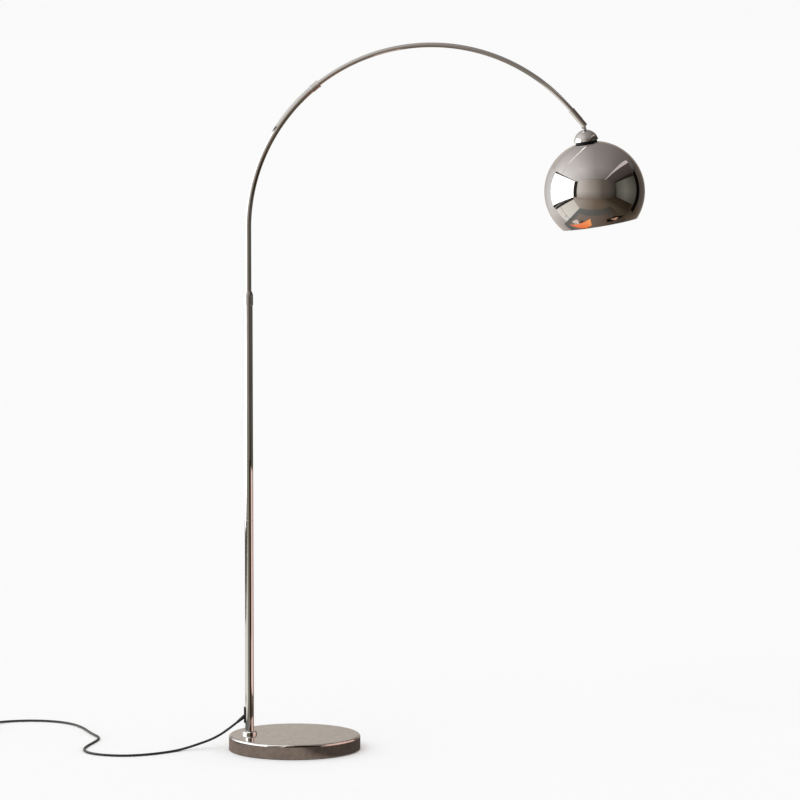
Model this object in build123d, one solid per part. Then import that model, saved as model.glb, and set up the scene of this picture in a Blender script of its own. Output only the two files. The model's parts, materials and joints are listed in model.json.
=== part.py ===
from build123d import *

import math
import os

# Arc floor lamp: a weighted round base, a two-piece pole, two tubes bent to one arc that slide
# into each other, a tilting knuckle with a lampholder and a ball-shaped reflector shade, and a
# mains lead with a foot switch and a plug. Millimetres, +Z up. The origin is the centre of the
# base's underside, and +X points from the base towards the shade.

# Base
BASE_R = 165.0
BASE_TOP = 37.5
SHELL_T = 1.5
RIM_R = 6.0
PAD_R = 161.0
PAD_T = 2.5
PLATE_TOP = 4.5
WEIGHT_R = 163.0
NUT_WELL_R = 15.0
NUT_WELL_TOP = 18.0
PLATE_SCREW_R = 130.0

# Pole, its foot and the clamp at its top
POLE_X = -113.0
POLE_R = 11.0
POLE_BORE = 9.5
POLE_SEAM = 579.0
POLE_TOP = 1134.0
SEAM_GAP = 0.3
FLANGE_R = 18.5
FLANGE_TOP = 46.0
FLANGE_ROUND = 5.5
FLANGE_SCREW_R = 14.8
FLANGE_SEAT = 41.0
FLANGE_SHANK_R = 1.5
FLANGE_HEAD_R = 2.6
FLANGE_HEAD_T = 2.4
STUD_R = 5.0
COLLAR_R = 12.2
COLLAR_LOW = 1117.0
COLLAR_TOP = 1139.0
CLAMP_TOP = 1152.0
FIT = 0.1

# Arc: both tubes follow one circle, which is tangent to the pole's axis
ARC_R = 455.0
ARC_X = POLE_X + ARC_R
ARC_Z = 1308.0
LOWER_R = 8.0
LOWER_BORE = 6.8
UPPER_R = 6.0
UPPER_BORE = 5.0
STEM_FOOT = 1030.0
STEM_BUSH_LOW = 1052.0
ARC_COLLAR = (130.7, 127.7)
LOWER_END = 128.2
UPPER_START = 137.5
SLEEVE_ANGLE = 40.3
UPPER_END = SLEEVE_ANGLE - 1.9

# End sleeve and knuckle, measured along the sleeve and down from the pivot
SLEEVE_LENGTH = 52.5
SLEEVE_R = 7.75
PIVOT_ALONG = 46.0
SLOT_START = 34.0
SLOT_WIDTH = 5.4
TONGUE_WIDTH = 5.0
TONGUE_R = 6.0
PIVOT_R = 2.0
HEAD_TILT = 9.8

# Head, heights along its own axis with the pivot at zero
SHOULDER_TOP = -11.0
NECK_R = 5.4
NECK_FOOT_R = 9.4
NECK_FOOT_TOP = -15.7
NECK_FLARE = 3.9
CAP_R = 30.7
CAP_T = 1.2
CAP_CENTRE = -45.1
CAP_RIM = -42.3
HOLDER_R = 19.0
HOLDER_END = -74.0
SHADE_R = 125.0
SHADE_T = 1.0
SHADE_CENTRE = -169.0
SHADE_CUT = SHADE_CENTRE - 83.0
BULB_R = 30.0
BULB_CENTRE = -128.0

# Mains lead
CORD_R = 3.0
FLEX_R = 2.3
OUTLET_Z = 86.5
NOSE_START = (-125.5, 0.0, 83.2)
LAMP_ROUTE = [
    (-143.9, 0.0, 67.8), (-162.0, 0.0, 53.4), (-187.0, 0.0, 35.5), (-213.0, -1.0, 22.5),
    (-240.0, -5.0, 13.5), (-266.0, -17.0, 6.5), (-292.0, -40.0, 3.1), (-320.0, -68.0, 3.0),
    (-351.0, -91.0, 3.0), (-384.0, -108.0, 3.0), (-422.0, -117.0, 3.0), (-461.0, -110.0, 3.0),
    (-495.0, -93.0, 3.0), (-519.0, -63.0, 3.0), (-529.0, -23.0, 3.0), (-523.0, 24.0, 3.0),
    (-510.0, 75.0, 3.0), (-500.0, 121.0, 3.0), (-502.0, 158.0, 3.0), (-517.0, 192.0, 3.0),
    (-533.0, 237.0, 3.0), (-551.0, 295.0, 3.0), (-578.0, 349.0, 3.0), (-616.0, 386.0, 3.0),
    (-664.0, 405.0, 3.0), (-713.0, 406.0, 3.0), (-755.0, 393.0, 3.2), (-783.1, 363.6, 5.2),
    (-799.0, 328.0, 7.0),
]
PLUG_ROUTE = [
    (-844.6, 225.7, 7.0), (-853.5, 205.6, 5.4), (-860.5, 184.0, 4.2), (-863.5, 163.0, 3.8),
    (-863.8, 143.0, 3.8),
]
TAIL_ROUTE = [
    (-863.8, 143.0, 10.0), (-863.6, 122.0, 9.6), (-862.0, 99.0, 8.6), (-858.5, 77.0, 7.4),
    (-854.0, 57.0, 7.0),
]
COIL_CENTRE = (-826.0, 143.0)
COIL_R = 33.0
COIL_TURNS = 3
COIL_LOW = 0.8
COIL_HIGH = 13.2
COIL_HALF_WIDTH = 7.8
SWITCH_HEADING = -114.0
SWITCH_SIZE = (72.0, 38.0)
SWITCH_SPLIT = 10.0
SWITCH_TOP = 20.0
SWITCH_WALL = 2.0
BOOT_LENGTH = 20.0
PEDAL_R = 13.0
PEDAL_TOP = 23.2
CORD_AXIS_Z = 7.0
PLUG_HEADING = -77.3
PLUG_BOOT = 22.0
PIN_R = 2.0
PIN_SPACING = 18.6

UPRIGHT = (Align.CENTER, Align.CENTER, Align.MIN)


# ---- shapes shared by several pieces

def disc(radius, low, high, x=0.0, y=0.0):
    return Pos(x, y, low) * Cylinder(radius, high - low, align=UPRIGHT)


def rimmed_disc(radius, low, high, rim):
    """Disc with its top edge rounded."""
    return fillet(disc(radius, low, high).faces().sort_by(Axis.Z)[-1].edges(), rim)


def ring(r_out, r_in, low, high, x=0.0, y=0.0):
    return disc(r_out, low, high, x, y) - disc(r_in, low, high, x, y)


def cone(r_low, r_high, low, high):
    return Pos(0, 0, low) * Cone(r_low, r_high, high - low, align=UPRIGHT)


def hexagon(across_flats, low, high):
    outline = RegularPolygon(across_flats / 2, 6, major_radius=False)
    return Pos(0, 0, low) * extrude(outline, high - low)


def ball(radius, centre):
    return Pos(0, 0, centre) * Sphere(radius)


def turned(*points):
    """Solid of revolution about Z from (radius, height) corners."""
    return revolve(make_face(Plane.XZ * Polyline(*points, close=True)), Axis.Z)


def around(count, radius, x=0.0, turn=0.0):
    """Points spaced evenly on a circle about (x, 0)."""
    angles = [math.radians(turn + 360 * i / count) for i in range(count)]
    return [(x + radius * math.cos(a), radius * math.sin(a)) for a in angles]


def group(solids):
    return Compound(children=list(solids))


def on_pole(shape):
    return Pos(POLE_X, 0, 0) * shape


def arc_plane(angle):
    """Frame on the arc's centre line: x outward, z along the travel towards the shade."""
    a = math.radians(angle)
    centre = (ARC_X + ARC_R * math.cos(a), 0, ARC_Z + ARC_R * math.sin(a))
    return Plane(origin=centre, x_dir=(math.cos(a), 0, math.sin(a)), z_dir=(math.sin(a), 0, -math.cos(a)))


def bent(section, start, end, y=0.0):
    """Section swept along the arc, from the start angle down to the end angle."""
    face = arc_plane(start) * Pos(0, -y) * section
    return revolve(face, Axis((ARC_X, 0, ARC_Z), (0, 1, 0)), start - end)


def bent_ring(r_out, r_in, start, end):
    return bent(Circle(r_out) - Circle(r_in), start, end)


def grub_screw(radius, length, socket):
    """Set screw pointing along +Z with its hexagon socket at the outer end."""
    return disc(radius, 0, length) - hexagon(socket, length * 0.5, length)


def corner_radii(points):
    """Largest even arc at each corner: 0.45 of the shorter run over the tangent of half the turn."""
    vectors = [Vector(*p) for p in points]
    radii = []
    for before, corner, after in zip(vectors, vectors[1:], vectors[2:]):
        shorter = min((corner - before).length, (after - corner).length)
        turn = (corner - before).get_angle(after - corner)
        radii.append(0.45 * shorter / math.tan(math.radians(turn / 2)))
    return radii


def cord_tube(name, points):
    radii = corner_radii(points)
    path = FilletPolyline(*points, radius=radii)
    start = Plane(origin=path @ 0, z_dir=path % 0)
    tube = sweep(start * Circle(CORD_R), path=path)
    length = path.length
    ratio = tube.volume / (math.pi * CORD_R**2 * length)
    print(f"{name}: length {length:.1f}, volume ratio {ratio:.4f}, smallest radius {min(radii):.1f}")
    print("  radii", " ".join(f"{r:.0f}" for r in radii))
    return tube


# ---- base

def base_cover():
    shell = rimmed_disc(BASE_R, 1.0, BASE_TOP, RIM_R)
    shell -= rimmed_disc(BASE_R - SHELL_T, 1.0, BASE_TOP - SHELL_T, RIM_R - SHELL_T)
    shell -= disc(STUD_R + 0.4, 0, BASE_TOP, POLE_X)
    for x, y in around(6, FLANGE_SCREW_R, POLE_X):
        shell -= disc(FLANGE_SHANK_R + 0.2, 0, BASE_TOP, x, y)
    return shell


def base_weight():
    weight = rimmed_disc(WEIGHT_R, PLATE_TOP, BASE_TOP - SHELL_T, RIM_R - SHELL_T)
    weight -= disc(NUT_WELL_R, PLATE_TOP, NUT_WELL_TOP, POLE_X)
    weight -= disc(STUD_R + 0.4, PLATE_TOP, BASE_TOP, POLE_X)
    for x, y in around(6, FLANGE_SCREW_R, POLE_X):
        weight -= disc(FLANGE_SHANK_R, BASE_TOP - 14, BASE_TOP, x, y)
    for x, y in around(4, PLATE_SCREW_R, turn=45):
        weight -= disc(2.0, PLATE_TOP, PLATE_TOP + 14, x, y)
    return weight


def base_plate():
    plate = disc(WEIGHT_R, PAD_T, PLATE_TOP) - disc(NUT_WELL_R, PAD_T, PLATE_TOP, POLE_X)
    for x, y in around(4, PLATE_SCREW_R, turn=45):
        plate -= Pos(x, y, 0) * cone(4.3, 2.3, PAD_T, PLATE_TOP)
    return plate


def plate_screw(x, y):
    screw = cone(4.0, 2.0, PAD_T, PLATE_TOP) + disc(2.0, PLATE_TOP, PLATE_TOP + 12)
    return Pos(x, y, 0) * (screw - hexagon(2.5, PAD_T, PAD_T + 1.5))


def flange_screw(x, y):
    head_top = FLANGE_SEAT + FLANGE_HEAD_T
    head = fillet(disc(FLANGE_HEAD_R, FLANGE_SEAT, head_top).faces().sort_by(Axis.Z)[-1].edges(), 0.4)
    screw = head + disc(FLANGE_SHANK_R, FLANGE_SEAT - 14, FLANGE_SEAT)
    return Pos(x, y, 0) * (screw - hexagon(2.5, head_top - 1.6, head_top))


def pole_flange():
    """Domed ring with a deep seat for each screw."""
    flange = ring(FLANGE_R, POLE_R + 0.05, BASE_TOP, FLANGE_TOP)
    flange = fillet(flange.edges().sort_by(Axis.Z)[-2:].sort_by(SortBy.RADIUS)[-1], FLANGE_ROUND)
    for x, y in around(6, FLANGE_SCREW_R):
        flange -= disc(FLANGE_SHANK_R + 0.2, BASE_TOP, FLANGE_SEAT, x, y)
        flange -= disc(FLANGE_HEAD_R + 0.2, FLANGE_SEAT, FLANGE_TOP, x, y)
    return on_pole(flange)


def pole_stud():
    return on_pole(disc(STUD_R, 7.0, 54.0))


def stud_nut():
    return on_pole(hexagon(17.0, 7.5, 15.5) - disc(STUD_R, 7.5, 15.5))


def stud_washer():
    return on_pole(ring(13.0, STUD_R + 0.4, 15.5, NUT_WELL_TOP))


def pole_foot_plug():
    return on_pole(ring(POLE_BORE - 0.05, STUD_R, BASE_TOP, 56.0))


# ---- pole

def outlet_hole():
    return Pos(POLE_X - POLE_R, 0, OUTLET_Z) * Rot(0, 90, 0) * Cylinder(4.6, 12)


def lower_pole_tube():
    return on_pole(ring(POLE_R, POLE_BORE, BASE_TOP, POLE_SEAM)) - outlet_hole()


def upper_pole_tube():
    return on_pole(ring(POLE_R, POLE_BORE, POLE_SEAM + SEAM_GAP, POLE_TOP))


def pole_coupler():
    coupler = ring(POLE_BORE - 0.05, 6.5, POLE_SEAM - 30, POLE_SEAM + 30)
    for step in range(8):
        for side in (-1, 1):
            groove = POLE_SEAM + side * (6 + 3 * step)
            coupler -= ring(POLE_BORE, POLE_BORE - 0.6, groove - 0.6, groove + 0.6)
    return on_pole(coupler)


def pole_collar():
    profile = [
        (POLE_R + 0.05, COLLAR_LOW), (COLLAR_R - 0.8, COLLAR_LOW), (COLLAR_R, COLLAR_LOW + 0.8),
        (COLLAR_R, COLLAR_TOP - 0.5), (COLLAR_R - 0.5, COLLAR_TOP), (POLE_BORE + 0.3, COLLAR_TOP),
        (POLE_BORE + 0.3, POLE_TOP), (POLE_R + 0.05, POLE_TOP),
    ]
    return on_pole(turned(*profile))


def stem_bush():
    return on_pole(ring(POLE_BORE - 0.05, LOWER_R + FIT, STEM_BUSH_LOW, 1124.0))


def cord_outlet():
    plate = ring(14.4, POLE_R + 0.05, OUTLET_Z - 20.5, OUTLET_Z + 20.5, POLE_X)
    window = Plane.YZ.offset(POLE_X - 20) * Rot(0, 0, 90) * Pos(OUTLET_Z, 0) * SlotOverall(41, 13.6)
    plate &= extrude(window, 20)
    spigot = Pos(POLE_X - 13, 0, OUTLET_Z) * Rot(0, 90, 0) * Cylinder(4.5, 4.8, align=UPRIGHT)
    start = Vector(*NOSE_START)
    run = Vector(*LAMP_ROUTE[0]) - start
    nose = Plane(origin=start, z_dir=run) * cone(5.0, CORD_R + 0.3, 0, run.length)
    return plate + spigot + nose - disc(POLE_R + 0.05, OUTLET_Z - 20.5, OUTLET_Z - 4.6, POLE_X)


# ---- clamp ring, lower arm and upper arm

def clamp_ring():
    gap = 0.2
    profile = [
        (LOWER_R + FIT, 1126.0), (POLE_BORE - FIT, 1126.0), (POLE_BORE - FIT, COLLAR_TOP + gap),
        (COLLAR_R, COLLAR_TOP + gap), (COLLAR_R, COLLAR_TOP + 4), (9.0, CLAMP_TOP),
        (LOWER_R + FIT, CLAMP_TOP),
    ]
    return on_pole(turned(*profile)) - clamp_axis() * disc(1.6, 0, 20)


def clamp_axis():
    """Frame of the clamp's set screw, pointing out of the ring at the back."""
    return Pos(POLE_X, LOWER_R + FIT + 0.1, COLLAR_TOP + 3.2) * Rot(-90, 0, 0)


def clamp_screw():
    return clamp_axis() * grub_screw(1.5, 3.4, 1.5)


def lower_arc_tube():
    stem = on_pole(ring(LOWER_R, LOWER_BORE, STEM_FOOT, ARC_Z))
    return stem + bent_ring(LOWER_R, LOWER_BORE, 180, LOWER_END) - arc_screw_axis() * disc(1.6, 0, 10)


def stem_foot():
    return on_pole(ring(POLE_BORE - FIT, LOWER_R, STEM_FOOT, STEM_FOOT + 18))


def arc_collar():
    start, end = ARC_COLLAR
    body = bent_ring(9.2, LOWER_R, start, LOWER_END)
    lip = bent_ring(9.2, UPPER_R + 0.5, LOWER_END, end)
    rim = bent_ring(9.8, 9.0, end + 0.45, end)
    return body + lip + rim - arc_screw_axis() * disc(1.6, 0, 10)


def arc_screw_axis():
    """Frame of the arc collar's set screw, pointing out of the tube at the back."""
    return arc_plane(129.4) * Pos(0, -UPPER_R - 0.2, 0) * Rot(90, 0, 0)


def arc_collar_screw():
    return arc_screw_axis() * grub_screw(1.5, 3.0, 1.5)


def arc_bush():
    return bent_ring(LOWER_BORE - 0.05, UPPER_R + FIT, 134.9, 130.0)


def upper_arc_tube():
    return bent_ring(UPPER_R, UPPER_BORE, UPPER_START, UPPER_END)


def upper_arc_foot():
    return bent_ring(LOWER_BORE - FIT, UPPER_R, UPPER_START, UPPER_START - 2.3)


def end_sleeve():
    sleeve = disc(SLEEVE_R, 0, SLEEVE_LENGTH) + disc(SLEEVE_R + 0.6, 0.0, 3.0)
    sleeve = chamfer(sleeve.edges().sort_by(Axis.Z)[-1], 0.5)
    sleeve -= disc(UPPER_R + 0.25, 0, 17)
    sleeve -= disc(3.2, 17, SLOT_START + 1)
    slot_middle = (SLOT_START + SLEEVE_LENGTH) / 2 + 1
    sleeve -= Pos(0, 0, slot_middle) * Box(20, SLOT_WIDTH, SLEEVE_LENGTH - SLOT_START + 2)
    sleeve -= pivot_bore(PIVOT_R, -5.4, 8) + pivot_bore(3.4, 5.2, 8)
    return arc_plane(SLEEVE_ANGLE) * (sleeve - sleeve_screw_axis() * disc(1.6, 0, 10))


def pivot_bore(radius, low, high):
    """Cylinder along the pivot, from one height to another counted towards the back."""
    return Pos(0, 0, PIVOT_ALONG) * Rot(90, 0, 0) * disc(radius, low, high)


def sleeve_screw_axis():
    return Pos(0, -UPPER_R - 0.2, 9) * Rot(90, 0, 0)


def sleeve_screw():
    return arc_plane(SLEEVE_ANGLE) * sleeve_screw_axis() * grub_screw(1.5, 1.6, 1.5)


def pivot_screw():
    screw = pivot_bore(PIVOT_R, -5.4, 5.2) + pivot_bore(3.2, 5.2, 6.9)
    slot = Pos(0, -6.9, PIVOT_ALONG) * Box(8, 1.6, 0.9)
    return arc_plane(SLEEVE_ANGLE) * (screw - slot)


# ---- head, built upright with the pivot at the origin and then tilted into place

def pivot_point():
    return arc_plane(SLEEVE_ANGLE).from_local_coords((0, 0, PIVOT_ALONG))


def head_plane():
    t = math.radians(HEAD_TILT)
    across = (math.cos(t), 0, math.sin(t))
    upward = (-math.sin(t), 0, math.cos(t))
    return Plane(origin=pivot_point(), x_dir=across, z_dir=upward)


def head_knuckle():
    eye = Rot(90, 0, 0) * Cylinder(TONGUE_R, TONGUE_WIDTH)
    tongue = eye + Pos(0, 0, SHOULDER_TOP / 2) * Box(2 * NECK_R, TONGUE_WIDTH, -SHOULDER_TOP)
    shoulder = flared_neck() - ball(CAP_R + 0.02, CAP_CENTRE)
    stub = disc(STUD_R, -36.0, SHOULDER_TOP)
    bore = disc(2.8, -36.0, SHOULDER_TOP - 1.5)
    return tongue + shoulder + stub - bore - Rot(90, 0, 0) * Cylinder(PIVOT_R + 0.08, 12)


def flared_neck():
    neck = disc(NECK_R, -18.0, SHOULDER_TOP) + disc(NECK_FOOT_R, -18.0, NECK_FOOT_TOP)
    rings = neck.edges().filter_by(GeomType.CIRCLE).group_by(Axis.Z)[1]
    return fillet(rings.sort_by(SortBy.RADIUS)[0], NECK_FLARE)


def dome_cap():
    cap = ball(CAP_R, CAP_CENTRE) - ball(CAP_R - CAP_T, CAP_CENTRE)
    cap &= disc(CAP_R + 1, CAP_RIM, 0)
    return cap - disc(STUD_R + 0.1, -20, 0)


def neck_nut():
    nut = hexagon(14.0, -22.0, -14.0) & ball(CAP_R - CAP_T - 0.05, CAP_CENTRE)
    return nut - disc(STUD_R, -22.0, -14.0)


def cap_gasket():
    return ring(27.0, HOLDER_R + 0.2, -52.0, -40.0) - ball(SHADE_R + 0.05, SHADE_CENTRE)


def lampholder():
    profile = [
        (STUD_R, -24.0), (8.5, -24.0), (8.5, -28.0), (15.0, -30.0), (HOLDER_R, -34.0),
        (HOLDER_R, HOLDER_END), (14.2, HOLDER_END), (14.2, -47.0), (STUD_R, -47.0),
    ]
    holder = turned(*profile)
    for step in range(8):
        low = -56.0 - 2.2 * step
        holder -= ring(HOLDER_R + 1, HOLDER_R - 0.6, low, low + 1.0)
    return holder


def lampholder_contacts():
    shell = ring(14.1, 13.5, -72.0, -50.0)
    tongue = Pos(0, 0, -47.6) * Box(12, 5, 1.0)
    return group([shell, tongue])


def shade_ring():
    nut = ring(26.5, HOLDER_R + 0.1, -53.5, -44.0) & ball(SHADE_R - SHADE_T - 0.05, SHADE_CENTRE)
    for x, y in around(24, 27.0):
        nut -= disc(1.1, -54.0, -44.0, x, y)
    return nut


def shade():
    shell = ball(SHADE_R, SHADE_CENTRE) - ball(SHADE_R - SHADE_T, SHADE_CENTRE)
    hem = ball(SHADE_R, SHADE_CENTRE) - ball(SHADE_R - 2 * SHADE_T, SHADE_CENTRE)
    wall = shell & disc(SHADE_R + 1, SHADE_CUT, 0)
    wall += hem & disc(SHADE_R + 1, SHADE_CUT, SHADE_CUT + 2.5)
    return wall - disc(HOLDER_R + 0.6, -60, 0)


def bulb_form(inset):
    neck = cone(BULB_R - 4.2 - inset, 13.2 - inset, -113.0, -74.5 - inset)
    return neck + ball(BULB_R - inset, BULB_CENTRE)


def bulb_glass():
    return bulb_form(0.0) - bulb_form(0.8)


def bulb_cap():
    cap = disc(13.2, -74.0, -51.5) + cone(10.5, 5.0, -51.5, -49.0) + disc(4.0, -49.0, -48.2)
    for step in range(4):
        low = -71.0 + 4.4 * step
        cap -= ring(14.0, 12.6, low, low + 1.8)
    return cap


# ---- wiring inside the tubes

def pole_flex():
    x = POLE_X - POLE_BORE + 4.0
    route = [(x, 0, OUTLET_Z), (POLE_X, 0, OUTLET_Z + 10), (POLE_X, 0, STEM_FOOT - 154)]
    path = FilletPolyline(*route, radius=5)
    return sweep(Plane(origin=path @ 0, z_dir=path % 0) * Circle(FLEX_R), path=path)


def arm_flex():
    offset = FLEX_R + 0.1
    stem = disc(FLEX_R, STEM_FOOT + 4, ARC_Z, POLE_X, offset)
    return stem + bent(Circle(FLEX_R), 180, 131, offset)


def upper_flex():
    offset = -FLEX_R - 0.1
    return bent(Circle(FLEX_R), 136, UPPER_END + 0.5, offset)


def head_flex():
    return disc(FLEX_R, -46.5, -15.5)


# ---- foot switch, laid out along its own x axis from the tip of its first strain relief

def switch_frame():
    x, y, _ = LAMP_ROUTE[-1]
    return Pos(x, y, 0) * Rot(0, 0, SWITCH_HEADING)


def switch_middle():
    return BOOT_LENGTH + SWITCH_SIZE[0] / 2


def switch_block(inset, low, high):
    length, width = SWITCH_SIZE
    outline = RectangleRounded(length - 2 * inset, width - 2 * inset, 14 - inset)
    return Pos(switch_middle(), 0, low) * extrude(outline, high - low)


def switch_cord_holes():
    return Pos(switch_middle(), 0, CORD_AXIS_Z) * Rot(0, 90, 0) * Cylinder(5.3, SWITCH_SIZE[0] + 4)


def switch_base():
    shell = switch_block(0, 0, SWITCH_SPLIT) - switch_block(SWITCH_WALL, SWITCH_WALL, SWITCH_SPLIT)
    return switch_frame() * (shell - switch_cord_holes())


def switch_cover():
    block = switch_block(0, SWITCH_SPLIT, SWITCH_TOP)
    block = fillet(block.faces().sort_by(Axis.Z)[-1].edges(), 2.5)
    block -= switch_block(SWITCH_WALL, SWITCH_SPLIT, SWITCH_TOP - SWITCH_WALL)
    block -= disc(PEDAL_R + 0.5, SWITCH_SPLIT, SWITCH_TOP, switch_middle())
    return switch_frame() * (block - switch_cord_holes())


def switch_pedal():
    button = disc(PEDAL_R, 15.3, PEDAL_TOP)
    button = fillet(button.faces().sort_by(Axis.Z)[-1].edges(), 1.5)
    flange = disc(PEDAL_R + 2.5, 15.3, SWITCH_TOP - SWITCH_WALL - 0.2)
    return switch_frame() * Pos(switch_middle(), 0, 0) * (button + flange)


def switch_mechanism():
    return switch_frame() * Pos(switch_middle(), 0, SWITCH_WALL) * Box(30, 18, 7, align=UPRIGHT)


def switch_spring():
    """Compression spring between the mechanism and the pedal."""
    wire_r = 0.4
    low = 9.0 + wire_r
    helix = Helix(pitch=1.375, height=5.5, radius=5.0)
    wire = sweep(Plane(origin=helix @ 0, z_dir=helix % 0) * Circle(wire_r), path=helix)
    return switch_frame() * Pos(switch_middle(), 0, low) * wire


def tapered_boot(length):
    """Strain relief along +X, thin end at the origin."""
    boot = Rot(0, 90, 0) * cone(CORD_R + 0.3, 5.2, 0, length)
    for step in range(3):
        boot -= Pos(length * (0.3 + 0.2 * step), 0, 5.2) * Box(1.2, 12, 2.4)
    return Pos(0, 0, CORD_AXIS_Z) * boot


def switch_boots():
    root = disc(5.2, 0, 3)
    boot = tapered_boot(BOOT_LENGTH) + Pos(BOOT_LENGTH, 0, CORD_AXIS_Z) * Rot(0, 90, 0) * root
    far = Pos(2 * switch_middle(), 0, 0) * Rot(0, 0, 180) * boot
    return group([switch_frame() * boot, switch_frame() * far])


# ---- coil, tie and plug

def cord_coil():
    x, y = COIL_CENTRE
    coil = ring(COIL_R + COIL_HALF_WIDTH, COIL_R - COIL_HALF_WIDTH, COIL_LOW, COIL_HIGH, x, y)
    print(f"coil: {COIL_TURNS} turns of mean radius {COIL_R}, {COIL_TURNS * math.tau * COIL_R:.0f} long")
    return fillet(coil.edges().filter_by(GeomType.CIRCLE), 2.5)


def cord_tie():
    x, y = COIL_CENTRE
    inner_x = COIL_R - COIL_HALF_WIDTH - 0.8
    outer_x = COIL_R + COIL_HALF_WIDTH + 0.1
    middle = (inner_x + outer_x) / 2
    height = COIL_HIGH + 1.1
    strap = Box(outer_x - inner_x + 2, 10, height, align=UPRIGHT)
    strap -= Pos(0, 0, 0.7) * Box(outer_x - inner_x, 10, height - 1.6, align=UPRIGHT)
    return Pos(x + middle, y, 0) * strap


def plug_frame():
    x, y, _ = TAIL_ROUTE[-1]
    return Pos(x, y, 0) * Rot(0, 0, PLUG_HEADING)


def plug_boot():
    return plug_frame() * tapered_boot(PLUG_BOOT)


def plug_body():
    side = [(22.0, 7.0), (30.0, 11.5), (44.0, 12.5), (50.0, 17.5), (58.0, 17.5)]
    outline = side + [(x, -y) for x, y in reversed(side)]
    body = extrude(make_face(Polyline(*outline, close=True)), 13.6)
    body = fillet(body.edges().filter_by(Axis.Z, reverse=True), 2.0)
    return plug_frame() * Pos(0, 0, 0.2) * body


def plug_pins():
    pins = []
    for side in (-1, 1):
        pin = Pos(58, side * PIN_SPACING / 2, CORD_AXIS_Z) * Rot(0, 90, 0) * disc(PIN_R, 0, 19)
        pins.append(plug_frame() * fillet(pin.faces().sort_by(Axis.X)[-1].edges(), 1.2))
    return group(pins)


def base_nodes():
    return {
        "base_cover": base_cover(),
        "base_weight": base_weight(),
        "base_plate": base_plate(),
        "floor_pad": disc(PAD_R, 0, PAD_T),
        "plate_screws": group(plate_screw(x, y) for x, y in around(4, PLATE_SCREW_R, turn=45)),
        "pole_flange": pole_flange(),
        "flange_screws": group(flange_screw(x, y) for x, y in around(6, FLANGE_SCREW_R, POLE_X)),
        "pole_stud": pole_stud(),
        "stud_nut": stud_nut(),
        "stud_washer": stud_washer(),
        "pole_foot_plug": pole_foot_plug(),
    }


def pole_nodes():
    return {
        "lower_pole_tube": lower_pole_tube(),
        "pole_coupler": pole_coupler(),
        "upper_pole_tube": upper_pole_tube(),
        "pole_collar": pole_collar(),
        "stem_bush": stem_bush(),
        "cord_outlet": cord_outlet(),
        "pole_flex": pole_flex(),
        "clamp_ring": clamp_ring(),
        "clamp_screw": clamp_screw(),
    }


def arm_nodes():
    return {
        "lower_arc_tube": lower_arc_tube(),
        "stem_foot": stem_foot(),
        "arc_collar": arc_collar(),
        "arc_collar_screw": arc_collar_screw(),
        "arc_bush": arc_bush(),
        "arm_flex": arm_flex(),
        "upper_arc_tube": upper_arc_tube(),
        "upper_arc_foot": upper_arc_foot(),
        "upper_flex": upper_flex(),
        "end_sleeve": end_sleeve(),
        "sleeve_screw": sleeve_screw(),
        "pivot_screw": pivot_screw(),
    }


def head_nodes():
    upright = {
        "head_knuckle": head_knuckle(),
        "dome_cap": dome_cap(),
        "neck_nut": neck_nut(),
        "cap_gasket": cap_gasket(),
        "lampholder": lampholder(),
        "lampholder_contacts": lampholder_contacts(),
        "head_flex": head_flex(),
        "shade_ring": shade_ring(),
        "shade": shade(),
        "bulb_glass": bulb_glass(),
        "bulb_cap": bulb_cap(),
    }
    return {name: head_plane() * shape for name, shape in upright.items()}


def cord_nodes():
    return {
        "lamp_lead": cord_tube("lamp_lead", LAMP_ROUTE),
        "switch_base": switch_base(),
        "switch_cover": switch_cover(),
        "switch_pedal": switch_pedal(),
        "switch_mechanism": switch_mechanism(),
        "switch_spring": switch_spring(),
        "switch_boots": switch_boots(),
        "plug_lead": cord_tube("plug_lead", PLUG_ROUTE),
        "cord_coil": cord_coil(),
        "cord_tie": cord_tie(),
        "plug_tail": cord_tube("plug_tail", TAIL_ROUTE),
        "plug_boot": plug_boot(),
        "plug_body": plug_body(),
        "plug_pins": plug_pins(),
    }


def main():
    os.makedirs("parts", exist_ok=True)
    nodes = base_nodes() | pole_nodes() | arm_nodes() | head_nodes() | cord_nodes()
    for name, shape in nodes.items():
        export_step(shape, f"parts/{name}.step")
    print("pivot", pivot_point(), "nodes", len(nodes))


main()
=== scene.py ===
import json
import math

import bmesh
import bpy
from mathutils import Matrix, Vector


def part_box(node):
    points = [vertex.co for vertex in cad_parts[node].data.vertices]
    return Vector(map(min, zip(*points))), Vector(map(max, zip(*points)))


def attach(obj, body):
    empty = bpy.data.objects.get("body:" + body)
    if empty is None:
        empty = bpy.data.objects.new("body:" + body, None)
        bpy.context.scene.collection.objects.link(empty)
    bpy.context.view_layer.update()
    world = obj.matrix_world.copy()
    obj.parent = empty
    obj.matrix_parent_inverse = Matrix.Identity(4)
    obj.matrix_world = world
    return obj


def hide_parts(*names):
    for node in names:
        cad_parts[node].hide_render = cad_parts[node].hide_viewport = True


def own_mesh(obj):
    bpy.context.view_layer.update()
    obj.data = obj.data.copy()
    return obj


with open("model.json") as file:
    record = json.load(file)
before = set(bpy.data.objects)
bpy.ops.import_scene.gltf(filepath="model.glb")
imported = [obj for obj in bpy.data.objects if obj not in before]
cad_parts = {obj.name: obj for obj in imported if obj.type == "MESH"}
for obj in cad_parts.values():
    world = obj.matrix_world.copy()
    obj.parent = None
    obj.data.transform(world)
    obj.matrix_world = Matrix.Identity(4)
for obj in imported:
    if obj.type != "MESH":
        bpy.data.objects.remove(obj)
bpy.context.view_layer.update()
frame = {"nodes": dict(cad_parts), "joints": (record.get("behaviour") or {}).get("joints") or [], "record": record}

# ---- places and sizes from the frame, in metres

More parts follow.
